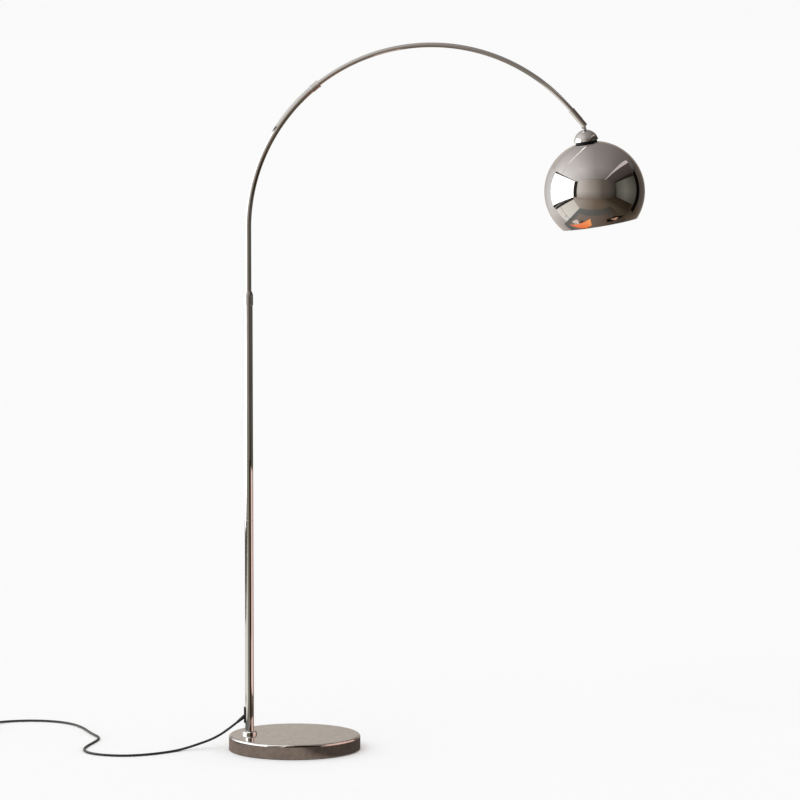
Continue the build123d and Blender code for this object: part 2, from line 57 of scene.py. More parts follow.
JOINTS = {joint["name"]: joint for joint in frame["joints"]}
POLE_X = JOINTS["arm_swivel"]["pos_m"][0]
ARC_CENTRE = Vector(JOINTS["reach_slide"]["pos_m"])
ARC_R = ARC_CENTRE.x - POLE_X
PIVOT = Vector(JOINTS["head_tilt"]["pos_m"])


def low(node):
    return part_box(node)[0]


def high(node):
    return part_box(node)[1]


def half_width(node):
    return (high(node).y - low(node).y) / 2


BASE_R = half_width("base_cover")
BASE_TOP = high("base_cover").z
POLE_R = half_width("lower_pole_tube")
STEM_R = half_width("lower_arc_tube")
ARM_R = half_width("upper_arc_tube")
SHADE_R = half_width("shade")
DOME_R = 0.0307
SHADE_CENTRE = Vector((high("shade").x - SHADE_R, 0, high("shade").z - SHADE_R))

# ---- the camera's place and lens

CAMERA_PLACE = (0.2645, -11.406, 2.001)
CAMERA_TILT = math.radians(84.388)
CAMERA_LENS = 206.9
SENSOR_WIDTH = 36

# ---- sizes that the frame doesn't say, in metres

COVER_WALL = 0.0015
RIM_ROUND = 0.006
POLE_WALL = 0.0015
STEM_WALL = 0.0012
ARM_WALL = 0.001
EDGE = 0.0003
SMALL_EDGE = 0.0006
ARC_STEP = 0.003
SHADE_WALL = 0.001
SHADE_CUT = -0.083
DOME_WALL = 0.0012
DOME_DROP = -0.0451
DOME_RIM = -0.0423
HOLDER_R = 0.019
BULB_R = 0.030
BULB_NECK_R = 0.0132
BULB_DROP = -0.128
BULB_NECK_TOP = -0.0745
GLASS_WALL = 0.0008
CORD_D = 0.006
COIL_CENTRE = Vector((-0.826, 0.143, 0))
COIL_OUTER_R = 0.0378
COIL_INNER_R = 0.0282
COIL_LOW_Z = 0.0038
COIL_HIGH_Z = 0.010
COIL_POINTS_PER_TURN = 16

# Angles along the arc, counted from the shade's side
LOWER_END = 128.2
COLLAR_START = 130.7
COLLAR_END = 127.7
UPPER_START = 137.5
UPPER_END = 38.4

LAMP_ROUTE = [
    (-0.1439, 0, 0.0678), (-0.162, 0, 0.0534), (-0.187, 0, 0.0355), (-0.213, -0.001, 0.0225),
    (-0.240, -0.005, 0.0135), (-0.266, -0.017, 0.0065), (-0.292, -0.040, 0.0031), (-0.320, -0.068, 0.003),
    (-0.351, -0.091, 0.003), (-0.384, -0.108, 0.003), (-0.422, -0.117, 0.003), (-0.461, -0.110, 0.003),
    (-0.495, -0.093, 0.003), (-0.519, -0.063, 0.003), (-0.529, -0.023, 0.003), (-0.523, 0.024, 0.003),
    (-0.510, 0.075, 0.003), (-0.500, 0.121, 0.003), (-0.502, 0.158, 0.003), (-0.517, 0.192, 0.003),
    (-0.533, 0.237, 0.003), (-0.551, 0.295, 0.003), (-0.578, 0.349, 0.003), (-0.616, 0.386, 0.003),
    (-0.664, 0.405, 0.003), (-0.713, 0.406, 0.003), (-0.755, 0.393, 0.0032), (-0.7831, 0.3636, 0.0052),
    (-0.799, 0.328, 0.007),
]
PLUG_ROUTE = [
    (-0.8446, 0.2257, 0.007), (-0.8535, 0.2056, 0.0054), (-0.8605, 0.184, 0.0042), (-0.8635, 0.163, 0.0038),
]
TAIL_ROUTE = [
    (-0.8636, 0.122, 0.0096), (-0.862, 0.099, 0.0086), (-0.8585, 0.077, 0.0074), (-0.854, 0.057, 0.007),
]


# ---- camera

def add_camera():
    data = bpy.data.cameras.new("camera")
    data.lens = CAMERA_LENS
    data.sensor_width = SENSOR_WIDTH
    data.clip_end = 200
    camera = bpy.data.objects.new("camera", data)
    camera.location = CAMERA_PLACE
    camera.rotation_euler = (CAMERA_TILT, 0, 0)
    bpy.context.scene.collection.objects.link(camera)
    bpy.context.scene.camera = camera


# ---- shader nodes

def new_material(name):
    material = bpy.data.materials.new(name)
    material.use_nodes = True
    return material, material.node_tree.nodes["Principled BSDF"]


def add_node(material, kind, inputs, **settings):
    """One shader node with its properties and inputs; an input given as a socket is linked."""
    tree = material.node_tree
    node = tree.nodes.new(kind)
    for key, value in settings.items():
        setattr(node, key, value)
    for key, value in inputs.items():
        if isinstance(value, bpy.types.NodeSocket):
            tree.links.new(value, node.inputs[key])
        else:
            node.inputs[key].default_value = value
    return node


def place_of(material, stretch=(1, 1, 1)):
    """Position on the object, stretched along its axes."""
    where = add_node(material, "ShaderNodeTexCoord", {}).outputs["Object"]
    return add_node(material, "ShaderNodeMapping", {"Vector": where, "Scale": stretch}).outputs["Vector"]


def noise(material, where, scale, detail=3.0):
    inputs = {"Vector": where, "Scale": scale, "Detail": detail}
    return add_node(material, "ShaderNodeTexNoise", inputs).outputs["Fac"]


def spread(material, value, lowest, highest):
    """The middle of a noise's range spread from lowest to highest."""
    inputs = {"Value": value, "From Min": 0.3, "From Max": 0.7, "To Min": lowest, "To Max": highest}
    return add_node(material, "ShaderNodeMapRange", inputs).outputs["Result"]


def between(material, value, first, second):
    """Colour that goes from first to second with a noise."""
    ramp = add_node(material, "ShaderNodeValToRGB", {"Fac": value})
    ramp.color_ramp.elements[0].position = 0.3
    ramp.color_ramp.elements[0].color = (*first, 1)
    ramp.color_ramp.elements[1].position = 0.7
    ramp.color_ramp.elements[1].color = (*second, 1)
    return ramp.outputs["Color"]


def bump(material, height, distance, strength=1.0, normal=None):
    inputs = {"Height": height, "Distance": distance, "Strength": strength}
    if normal:
        inputs["Normal"] = normal
    return add_node(material, "ShaderNodeBump", inputs).outputs["Normal"]


def link(material, value, socket):
    material.node_tree.links.new(value, socket)


# ---- materials

def chrome(name, dark, light, roughness, haze, clouds_scale=9.0, grain=900.0, depth=0.0000012):
    """Plated metal: cloudy polish, faint wipe marks and a very fine grain."""
    material, shader = new_material(name)
    shader.inputs["Metallic"].default_value = 1.0
    where = place_of(material)
    clouds = noise(material, where, clouds_scale, detail=5.0)
    wipes = noise(material, place_of(material, stretch=(60, 60, 4)), scale=3.0, detail=4.0)
    link(material, between(material, clouds, dark, light), shader.inputs["Base Color"])
    link(material, spread(material, wipes, roughness, roughness + haze), shader.inputs["Roughness"])
    link(material, bump(material, noise(material, where, grain), depth), shader.inputs["Normal"])
    return material


def brushed(name, dark, light, roughness, grain=(500, 500, 20), haze=0.14):
    """Turned or brushed metal with scratches along one way."""
    material, shader = new_material(name)
    shader.inputs["Metallic"].default_value = 1.0
    scratches = noise(material, place_of(material, grain), scale=4.0, detail=4.0)
    clouds = noise(material, place_of(material), scale=60.0)
    link(material, between(material, clouds, dark, light), shader.inputs["Base Color"])
    link(material, spread(material, scratches, roughness, roughness + haze), shader.inputs["Roughness"])
    link(material, bump(material, scratches, distance=0.00002, strength=0.5), shader.inputs["Normal"])
    return material


def plastic(name, dark, light, roughness, grain, depth, specular=0.5, haze=0.1):
    """Moulded plastic or rubber with a fine spark-eroded grain."""
    material, shader = new_material(name)
    where = place_of(material)
    clouds = noise(material, where, scale=35.0)
    pits = noise(material, where, grain, detail=2.0)
    link(material, between(material, clouds, dark, light), shader.inputs["Base Color"])
    link(material, spread(material, clouds, roughness, roughness + haze), shader.inputs["Roughness"])
    link(material, bump(material, pits, depth, strength=0.6), shader.inputs["Normal"])
    shader.inputs["Specular IOR Level"].default_value = specular
    return material


def concrete(name, dark, light):
    """Cast concrete: pale stones in fine sand."""
    material, shader = new_material(name)
    where = place_of(material)
    cells = add_node(material, "ShaderNodeTexVoronoi", {"Vector": where, "Scale": 90.0})
    stones = cells.outputs["Distance"]
    sand = noise(material, where, scale=400.0, detail=6.0)
    link(material, between(material, stones, dark, light), shader.inputs["Base Color"])
    grain = bump(material, sand, distance=0.0003, strength=0.8)
    relief = bump(material, stones, distance=0.0006, strength=0.4, normal=grain)
    link(material, relief, shader.inputs["Normal"])
    shader.inputs["Roughness"].default_value = 0.9
    return material


def felt(name, dark, light, fibre):
    """Pressed or woven fabric: crossed fibres with a soft sheen."""
    material, shader = new_material(name)
    fine = fibre * 6
    along = noise(material, place_of(material, (fibre, fine, fibre)), scale=1.0, detail=4.0)
    across = noise(material, place_of(material, (fine, fibre, fibre)), scale=1.0, detail=4.0)
    higher = add_node(material, "ShaderNodeMath", {0: along, 1: across}, operation="MAXIMUM")
    both = higher.outputs["Value"]
    link(material, between(material, both, dark, light), shader.inputs["Base Color"])
    link(material, bump(material, both, distance=0.0004, strength=0.9), shader.inputs["Normal"])
    shader.inputs["Roughness"].default_value = 0.95
    shader.inputs["Sheen Weight"].default_value = 0.3
    return material


def opal(name, dark, light):
    """Opal bulb glass: milky white under a clear skin."""
    material, shader = new_material(name)
    clouds = noise(material, place_of(material), scale=30.0)
    waves = noise(material, place_of(material), scale=120.0)
    link(material, between(material, clouds, dark, light), shader.inputs["Base Color"])
    link(material, spread(material, clouds, lowest=0.18, highest=0.26), shader.inputs["Roughness"])
    link(material, bump(material, waves, distance=0.00003, strength=0.3), shader.inputs["Normal"])
    shader.inputs["Coat Weight"].default_value = 0.6
    shader.inputs["Coat Roughness"].default_value = 0.05
    shader.inputs["Subsurface Weight"].default_value = 0.4
    shader.inputs["Subsurface Scale"].default_value = 0.004
    return material


MATERIALS = {
    "base_chrome": chrome("base_chrome", (0.55, 0.52, 0.50), (0.72, 0.69, 0.67), roughness=0.08, haze=0.07,
                          clouds_scale=70.0, grain=700.0, depth=0.000005),
    "tube_chrome": chrome("tube_chrome", (0.70, 0.69, 0.68), (0.77, 0.76, 0.75), roughness=0.04, haze=0.05),
    "shade_chrome": chrome("shade_chrome", (0.68, 0.66, 0.65), (0.74, 0.72, 0.71), roughness=0.03, haze=0.03),
    "fixings": brushed("fixings", (0.50, 0.50, 0.51), (0.64, 0.64, 0.65), roughness=0.22),
    "concrete": concrete("concrete", (0.33, 0.32, 0.30), (0.52, 0.50, 0.47)),
    "felt": felt("felt", (0.016, 0.016, 0.017), (0.07, 0.07, 0.072), fibre=700.0),
    "nylon": plastic("nylon", (0.74, 0.73, 0.70), (0.84, 0.83, 0.80), roughness=0.42, grain=900.0,
                     depth=0.00004),
    "black_rubber": plastic("black_rubber", (0.007, 0.007, 0.008), (0.016, 0.016, 0.017), roughness=0.46,
                            grain=1400.0, depth=0.00006),
    "cord_sheath": plastic("cord_sheath", (0.008, 0.008, 0.009), (0.018, 0.018, 0.019), roughness=0.34,
                           grain=700.0, depth=0.00008),
    "inner_flex": plastic("inner_flex", (0.62, 0.62, 0.60), (0.72, 0.72, 0.70), roughness=0.38, grain=800.0,
                          depth=0.00004),
    "tie": felt("tie", (0.014, 0.014, 0.016), (0.06, 0.06, 0.064), fibre=1200.0),
    "black_plastic": plastic("black_plastic", (0.005, 0.005, 0.006), (0.013, 0.013, 0.014), roughness=0.36,
                             grain=1800.0, depth=0.00005, specular=0.25),
    "brass": brushed("brass", (0.66, 0.50, 0.24), (0.80, 0.64, 0.34), roughness=0.24),
    "pin_nickel": brushed("pin_nickel", (0.66, 0.64, 0.60), (0.78, 0.76, 0.72), roughness=0.12),
    "bulb_opal": opal("bulb_opal", (0.88, 0.87, 0.84), (0.94, 0.93, 0.90)),
    "bulb_metal": brushed("bulb_metal", (0.66, 0.66, 0.67), (0.78, 0.78, 0.79), roughness=0.2),
}


def shade_lining():
    """Satin inside of the shade, brighter than the chrome outside."""
    dark, light = (0.74, 0.73, 0.71), (0.86, 0.85, 0.83)
    return brushed("shade_lining", dark, light, roughness=0.3, grain=(120, 120, 120))


def dress_cad_nodes():
    for part in frame["record"]["subparts"]:
        node = frame["nodes"][part["node"]]
        if not node.material_slots:
            node.data.materials.append(None)
        for slot in node.material_slots:
            slot.link = "OBJECT"
            slot.material = MATERIALS[part["material_slot"]]


# ---- building pieces

def piece(shape, body, slot_name, *nodes):
    """A finished mesh or curve: its material, its body and the CAD nodes that it stands for."""
    if not shape.data.materials:
        shape.data.materials.append(MATERIALS[slot_name])
    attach(shape, body)
    if nodes:
        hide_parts(*nodes)
    return shape


def finished(name, mesh, sharp=32.0):
    """Object of a bmesh, smooth but for its sharp edges."""
    bmesh.ops.recalc_face_normals(mesh, faces=mesh.faces)
    data = bpy.data.meshes.new(name)
    mesh.to_mesh(data)
    mesh.free()
    data.shade_smooth()
    data.set_sharp_from_angle(angle=math.radians(sharp))
    shape = bpy.data.objects.new(name, data)
    bpy.context.scene.collection.objects.link(shape)
    return shape


def rounded(corners, steps=5):
    """Closed outline through (across, along, rounding) corners, with an arc at each rounded one.

    A point close to each end of an arc keeps the long sides' shading flat.
    """
    outline = []
    closeness, share_of_side = 0.3, 0.1
    for i, (across, along, size) in enumerate(corners):
        corner = Vector((across, along))
        if size == 0:
            outline.append(corner)
            continue
        before = Vector(corners[i - 1][:2]) - corner
        after = Vector(corners[(i + 1) % len(corners)][:2]) - corner
        holds = [min(closeness * size, share_of_side * side.length) for side in (before, after)]
        before.normalize()
        after.normalize()
        half = before.angle(after) / 2
        middle = corner + (before + after).normalized() * size / math.sin(half)
        start = corner + before * size / math.tan(half) - middle
        end = corner + after * size / math.tan(half) - middle
        outline.append(middle + start + before * holds[0])
        outline += [middle + start.lerp(end, k / steps).normalized() * size for k in range(steps + 1)]
        outline.append(middle + end + after * holds[1])
    return outline


def dense(outline, step):
    """The closed outline with points added, so that none are further apart than step along the axis."""
    filled = []
    for point, following in zip(outline, outline[1:] + outline[:1]):
        count = max(1, math.ceil(abs(following.y - point.y) / step))
        filled += [point.lerp(following, k / count) for k in range(count)]
    return filled


def join_rings(mesh, first, second):
    """Faces between two rings of vertices, either of which may be a single point."""
    count = max(len(first), len(second))
    if count == 1:
        return
    for i in range(count):
        after = (i + 1) % count
        one_side = [first[i % len(first)], first[after % len(first)]]
        other_side = [second[after % len(second)], second[i % len(second)]]
        mesh.faces.new(list(dict.fromkeys(one_side + other_side)))


def turned(name, outline, place, around=96, sharp=32.0):
    """Closed outline of (radius, along) points turned about the axis that place(along) gives."""
    mesh = bmesh.new()
    angles = [math.tau * i / around for i in range(around)]
    rings = []
    for radius, along in outline:
        here = place(along)
        if radius < 1e-6:
            rings.append([mesh.verts.new(here.translation)])
        else:
            ring = [Vector((radius * math.cos(a), radius * math.sin(a), 0)) for a in angles]
            rings.append([mesh.verts.new(here @ spot) for spot in ring])
    for first, second in zip(rings, rings[1:] + rings[:1]):
        join_rings(mesh, first, second)
    return finished(name, mesh, sharp)


def on_base(along):
    return Matrix.Translation((0, 0, along))


def on_pole(along):
    return Matrix.Translation((POLE_X, 0, along))


def arc_frame(angle):
    """Frame on the arc: x outward, z along the travel towards the shade."""
    x_axis = Vector((math.cos(angle), 0, math.sin(angle)))
    z_axis = Vector((math.sin(angle), 0, -math.cos(angle)))
    axes = Matrix((x_axis, (0, -1, 0), z_axis)).transposed().to_4x4()
    return Matrix.Translation(ARC_CENTRE + ARC_R * x_axis) @ axes


def on_arm(along):
    """Frame on the arm, by the distance from the top of the straight stem; below it is negative."""
    if along < 0:
        return arc_frame(math.pi) @ Matrix.Translation((0, 0, along))
    return arc_frame(math.pi - along / ARC_R)


def arm_distance(degrees):
    return (math.pi - math.radians(degrees)) * ARC_R


HEAD_TILT = math.atan2(SHADE_CENTRE.x - PIVOT.x, PIVOT.z - SHADE_CENTRE.z)
HEAD = Matrix.Translation(PIVOT) @ Matrix.Rotation(-HEAD_TILT, 4, "Y")
SHADE_DROP = -(SHADE_CENTRE - PIVOT).length


def on_head(along):
    return HEAD @ Matrix.Translation((0, 0, along))


def sphere_arc(radius, centre, first, last, steps):
    """Outline points on a ball, by angle from its top."""
    angles = [first + (last - first) * k / steps for k in range(steps + 1)]
    return [Vector((radius * math.sin(a), centre + radius * math.cos(a))) for a in angles]


# ---- base and pole

def build_base():
    wall, inner_r, inner_top = COVER_WALL, BASE_R - COVER_WALL, BASE_TOP - COVER_WALL
    bottom = low("base_cover").z
    corners = [
        (0, BASE_TOP, 0), (BASE_R, BASE_TOP, RIM_ROUND), (BASE_R, bottom, EDGE), (inner_r, bottom, EDGE),
        (inner_r, inner_top, RIM_ROUND - wall), (0, inner_top, 0),
    ]
    outline = rounded(corners, steps=8)
    piece(turned("base_shell", outline, on_base, around=256), "base", "base_chrome", "base_cover")
    pad_r, pad_top = half_width("floor_pad"), high("floor_pad").z
    corners = [(0, pad_top, 0), (pad_r, pad_top, EDGE), (pad_r, 0, 2 * EDGE), (0, 0, 0)]
    piece(turned("felt_pad", rounded(corners), on_base, around=256), "base", "felt", "floor_pad")


def build_tube(name, node, radius, wall, place, start, end, body, step=1.0):
    corners = [
        (radius, start, EDGE), (radius, end, EDGE), (radius - wall, end, EDGE), (radius - wall, start, EDGE),
    ]
    outline = dense(rounded(corners), step)
    piece(turned(name, outline, place), body, "tube_chrome", node)


def build_pole():
    for name, node in (("pole_tube_low", "lower_pole_tube"), ("pole_tube_high", "upper_pole_tube")):
        build_tube(name, node, POLE_R, POLE_WALL, on_pole, low(node).z, high(node).z, "base")
    collar_r = half_width("pole_collar")
    bottom, top, seat = low("pole_collar").z, high("pole_collar").z, high("upper_pole_tube").z
    collar_bore, mouth_r, foot_edge = POLE_R + 0.00005, 0.0098, 0.001
    corners = [
        (collar_bore, bottom, 0), (collar_r, bottom, foot_edge), (collar_r, top, SMALL_EDGE),
        (mouth_r, top, EDGE), (mouth_r, seat, 0), (collar_bore, seat, 0),
    ]
    piece(turned("pole_top_collar", rounded(corners), on_pole), "base", "tube_chrome", "pole_collar")
    ring_low, ring_top = low("clamp_ring").z, high("clamp_ring").z
    spigot_r, cone_top_r, bore = 0.0094, 0.009, STEM_R + 0.0001
    cone_foot, shoulder = top + 0.0002, top + 0.004
    cone_edge, shoulder_edge, bore_edge = 0.0004, 0.0015, 0.0002
    corners = [
        (bore, ring_low, EDGE), (spigot_r, ring_low, EDGE), (spigot_r, cone_foot, 0),
        (collar_r, cone_foot, cone_edge), (collar_r, shoulder, shoulder_edge),
        (cone_top_r, ring_top, cone_edge), (bore, ring_top, bore_edge),
    ]
    piece(turned("clamp_cone", rounded(corners), on_pole), "clamp", "tube_chrome", "clamp_ring")


# ---- arm

def build_arm():
    stem_start = low("lower_arc_tube").z - ARC_CENTRE.z
    build_tube("arm_tube_low", "lower_arc_tube", STEM_R, STEM_WALL, on_arm, stem_start,
               arm_distance(LOWER_END), "lower_arm", ARC_STEP)
    build_tube("arm_tube_high", "upper_arc_tube", ARM_R, ARM_WALL, on_arm, arm_distance(UPPER_START),
               arm_distance(UPPER_END), "upper_arm", ARC_STEP)
    start, step, end = (arm_distance(a) for a in (COLLAR_START, LOWER_END, COLLAR_END))
    collar_r, rim_r, bore, bore_edge = 0.0092, half_width("arc_collar"), ARM_R + 0.0005, 0.0004
    rim = end - 0.0036
    corners = [
        (STEM_R, start, EDGE), (collar_r, start, SMALL_EDGE), (collar_r, rim, EDGE), (rim_r, rim, EDGE),
        (rim_r, end, SMALL_EDGE), (bore, end, bore_edge), (bore, step, 0), (STEM_R, step, 0),
    ]
    outline = dense(rounded(corners), ARC_STEP)
    piece(turned("arm_collar", outline, on_arm), "lower_arm", "tube_chrome", "arc_collar")


# ---- head

def build_dome():
    neck_hole_r = 0.0051
    rim_angle = math.acos((DOME_RIM - DOME_DROP) / DOME_R)
    hole_angle = math.asin(neck_hole_r / DOME_R)
    outside = sphere_arc(DOME_R, DOME_DROP, hole_angle, rim_angle, steps=40)
    inside = sphere_arc(DOME_R - DOME_WALL, DOME_DROP, rim_angle, hole_angle, steps=40)
    piece(turned("dome", outside + inside, on_head, around=128), "head", "tube_chrome", "dome_cap")


def build_shade():
    """Ball shade with a round bead along its mouth, satin inside."""
    clearance, bead, bead_steps, mouth_gap = 0.0006, 0.0008, 8, 0.01
    cut_angle = math.acos(SHADE_CUT / SHADE_R)
    hole_angle = math.asin((HOLDER_R + clearance) / SHADE_R)
    outside = sphere_arc(SHADE_R, SHADE_DROP, hole_angle, cut_angle, steps=120)
    inside = sphere_arc(SHADE_R - SHADE_WALL, SHADE_DROP, cut_angle - mouth_gap, hole_angle, steps=120)
    centre = (outside[-1] + inside[0]) / 2
    outward = (outside[-1] - inside[0]).normalized()
    down = Vector((outward.y, -outward.x))
    if down.y > 0:
        down = -down
    turns = [math.pi * k / bead_steps for k in range(bead_steps + 1)]
    lip = [centre + (outward * math.cos(a) + down * math.sin(a)) * bead for a in turns]
    shell = turned("ball_shade", outside[:-1] + lip + inside[1:], on_head, around=224)
    shell.data.materials.append(MATERIALS["shade_chrome"])
    shell.data.materials.append(shade_lining())
    for face in shell.data.polygons:
        if (face.center - SHADE_CENTRE).dot(face.normal) < 0:
            face.material_index = 1
    piece(shell, "head", "shade_chrome", "shade")


def build_seal_ring():
    inner_r, outer_r = HOLDER_R + 0.0003, half_width("cap_gasket")
    top, top_edge, lift = -0.0405, 0.0008, 0.0001
    inner_seat, outer_seat = (SHADE_DROP + math.sqrt(SHADE_R**2 - r**2) + lift for r in (inner_r, outer_r))
    corners = [
        (inner_r, top, EDGE), (outer_r, top, top_edge), (outer_r, outer_seat, SMALL_EDGE),
        (inner_r, inner_seat, EDGE),
    ]
    ring = turned("seal_ring", rounded(corners), on_head, around=128)
    piece(ring, "head", "black_plastic", "cap_gasket")


def build_bulb():
    """Glass of a globe bulb, drawn in to a neck."""
    bottom, shoulder = math.pi - 0.001, math.radians(30) + 0.9
    skin = [Vector((0, BULB_DROP - BULB_R))]
    skin += sphere_arc(BULB_R, BULB_DROP, bottom, shoulder, steps=40)
    skin += [Vector(spot) for spot in ((0.0212, -0.1005), (0.0174, -0.092), (0.0148, -0.084))]
    skin.append(Vector((BULB_NECK_R, BULB_NECK_TOP)))
    inner = []
    for spot in reversed(skin):
        rise = GLASS_WALL if spot.y < BULB_DROP else 0
        inner.append(Vector((max(0.0, spot.x - GLASS_WALL), spot.y + rise)))
    piece(turned("bulb_globe", skin + inner, on_head, around=96), "head", "bulb_opal", "bulb_glass")


# ---- cords

def route_curve(name, points):
    """A cord along a smooth spline whose control points are the route's points."""
    data = bpy.data.curves.new(name, "CURVE")
    data.dimensions = "3D"
    spline = data.splines.new("NURBS")
    spline.points.add(len(points) - 1)
    for control, point in zip(spline.points, points):
        control.co = (*point, 1)
    spline.order_u = 3
    spline.use_endpoint_u = True
    data.resolution_u = 10
    data.bevel_depth = CORD_D / 2
    data.bevel_resolution = 6
    data.use_fill_caps = True
    shape = bpy.data.objects.new(name, data)
    bpy.context.scene.collection.objects.link(shape)
    return shape


def coil_turns():
    """Spare cord in two layers: inward along the floor, up, and outward over itself."""
    points = []
    turns = 3
    count = turns * COIL_POINTS_PER_TURN
    for i in range(count + 1):
        share = i / count
        angle = math.pi + turns * math.tau * share
        inward = 1 - abs(2 * share - 1)
        radius = COIL_OUTER_R + (COIL_INNER_R - COIL_OUTER_R) * inward
        climb = min(1.0, max(0.0, (share - 0.5) * count / 2 + 0.5))
        z = COIL_LOW_Z + (COIL_HIGH_Z - COIL_LOW_Z) * climb
        points.append(COIL_CENTRE + Vector((radius * math.cos(angle), radius * math.sin(angle), z)))
    return points


def build_tie():
    """Woven strap round the coil, a flat band with rounded corners."""
    first, last, strap, bend = low("cord_tie"), high("cord_tie"), 0.001, 0.003
    mesh = bmesh.new()
    rings = []
    for inset, y in ((0, first.y), (0, last.y), (strap, last.y), (strap, first.y)):
        x0, x1, z0, z1 = first.x + inset, last.x - inset, first.z + inset, last.z - inset
        size = bend - inset
        outline = rounded([(x0, z0, size), (x1, z0, size), (x1, z1, size), (x0, z1, size)])
        rings.append([mesh.verts.new((x, y, z)) for x, z in outline])
    for ring, following in zip(rings, rings[1:] + rings[:1]):
        join_rings(mesh, ring, following)
    return piece(finished("tie_strap", mesh), "base", "tie", "cord_tie")


def build_spring():
    """Spring under the foot switch's pedal, built at rest with a mesh of its own; the real one flattens as the
    pedal goes down.
    """
    first, last = low("switch_spring"), high("switch_spring")
    centre = (first + last) / 2
    wire_r, turns, per_turn, around, travel = 0.0004, 4, 24, 8, 0.003
    radius = (last.y - first.y) / 2 - wire_r
    height = last.z - first.z
    mesh = bmesh.new()
    rings = []
    for i in range(turns * per_turn + 1):
        turn = math.tau * i / per_turn
        outward = Vector((math.cos(turn), math.sin(turn), 0))
        middle = Vector((centre.x, centre.y, first.z + wire_r)) + outward * radius
        middle.z += (height - 2 * wire_r) * i / (turns * per_turn)
        spots = [math.tau * k / around for k in range(around)]
        ring = [outward * math.cos(a) + Vector((0, 0, math.sin(a))) for a in spots]
        rings.append([mesh.verts.new(middle + way * wire_r) for way in ring])
    for ring, following in zip(rings, rings[1:]):
        join_rings(mesh, ring, following)
    mesh.faces.new(rings[0])
    mesh.faces.new(rings[-1])
    spring = piece(finished("pedal_spring", mesh), "base", "fixings", "switch_spring")
    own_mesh(spring)
    return spring


def build_cords():
    nodes = frame["nodes"]
    lamp_cord = piece(route_curve("lamp_cord", LAMP_ROUTE), "base", "cord_sheath", "lamp_lead")
    switch = [nodes["switch_" + n] for n in ("base", "cover", "pedal", "mechanism", "boots")]
    switch.append(build_spring())
    points = PLUG_ROUTE + [tuple(p) for p in coil_turns()] + TAIL_ROUTE
    plug_cord = piece(route_curve("plug_cord", points), "base", "cord_sheath",
                      "plug_lead", "cord_coil", "plug_tail")
    plug = [nodes[n] for n in ("plug_boot", "plug_body", "plug_pins")]
    plug.append(build_tie())


# ---- stage: pale floor, soft light, and a room that only reflections see

def emitter(name, one_sided):
    """Glowing surface in the mesh's corner colours; one-sided ones are clear from behind."""
    material, shader = new_material(name)
    tree = material.node_tree
    tree.nodes.remove(shader)
    colour = add_node(material, "ShaderNodeVertexColor", {}, layer_name="glow").outputs["Color"]
    light = add_node(material, "ShaderNodeEmission", {"Color": colour}).outputs["Emission"]
    if one_sided:
        behind = add_node(material, "ShaderNodeNewGeometry", {}).outputs["Backfacing"]
        clear = add_node(material, "ShaderNodeBsdfTransparent", {}).outputs["BSDF"]
        light = add_node(material, "ShaderNodeMixShader", {0: behind, 1: light, 2: clear}).outputs["Shader"]
    tree.links.new(light, tree.nodes["Material Output"].inputs["Surface"])
    return material


GLOW = {one_sided: emitter(name, one_sided) for name, one_sided in (("glow", False), ("glow_above", True))}


def blend(values, share):
    """Mean of triples, weighted by their share."""
    return sum((Vector(value) * weight for value, weight in zip(values, share)), Vector((0, 0, 0)))


def card(name, corners, colours, one_sided=False):
    """Four-cornered glowing surface that only glossy reflections see; one colour may serve all corners."""
    data = bpy.data.meshes.new(name)
    grid = bmesh.new()
    steps = 6
    if not isinstance(colours[0], tuple):
        colours = [colours] * 4
    layer = grid.loops.layers.float_color.new("glow")
    places = []
    shades = {}
    for i in range(steps + 1):
        places.append([])
        for k in range(steps + 1):
            u, v = i / steps, k / steps
            share = ((1 - u) * (1 - v), u * (1 - v), u * v, (1 - u) * v)
            corner = grid.verts.new(blend(corners, share))
            places[i].append(corner)
            shades[corner] = blend(colours, share)
    for i in range(steps):
        for k in range(steps):
            face = grid.faces.new((places[i][k], places[i + 1][k], places[i + 1][k + 1], places[i][k + 1]))
            for loop in face.loops:
                loop[layer] = (*shades[loop.vert], 1)
    grid.to_mesh(data)
    grid.free()
    data.materials.append(GLOW[one_sided])
    shape = bpy.data.objects.new(name, data)
    bpy.context.scene.collection.objects.link(shape)
    for ray in ("camera", "diffuse", "transmission", "volume_scatter", "shadow"):
        setattr(shape, "visible_" + ray, False)


def painted(shaded, lit, full):
    """Rule for a field's colours: the tint goes from shaded to lit as the brightness rises to full."""
    def colour(value):
        share = min(1.0, value / full)
        return tuple(value * (s + (bright - s) * share) for s, bright in zip(shaded, lit))
    return colour


def field(name, place, across, along, values, colour):
    """Cards side by side whose colours run into each other; values has one row for each step along."""
    for i in range(len(across) - 1):
        for k in range(len(along) - 1):
            steps = ((i, k), (i + 1, k), (i + 1, k + 1), (i, k + 1))
            corners = [place(across[a], along[b]) for a, b in steps]
            card(f"{name}_{i}_{k}", corners, [colour(values[b][a]) for a, b in steps])


def upright(name, start, end, foot, top, colours, one_sided=False):
    """Card that stands on the line from start to end; colours run round from the start's foot."""
    corners = [(*start, foot), (*end, foot), (*end, top), (*start, top)]
    card(name, corners, colours, one_sided)


def level(name, z, x0, x1, y0, y1, *colours):
    """Card across Z, in one colour or in four that run round from the near left corner."""
    card(name, [(x0, y0, z), (x1, y0, z), (x1, y1, z), (x0, y1, z)], colours * (4 // len(colours)))


def build_room():
    """A living room round the lamp: glass door at its left, dark doorway at its right."""
    left, right, near, far, bottom, top = -6.0, 7.0, -5.6, 7.0, -0.005, 4.8
    build_room_shell(left, right, near, far, bottom, top)
    build_ceiling_strip(right, near, top - 0.05)
    build_glass_door()
    build_floor_cards()
    build_seats()
    build_close_cards()


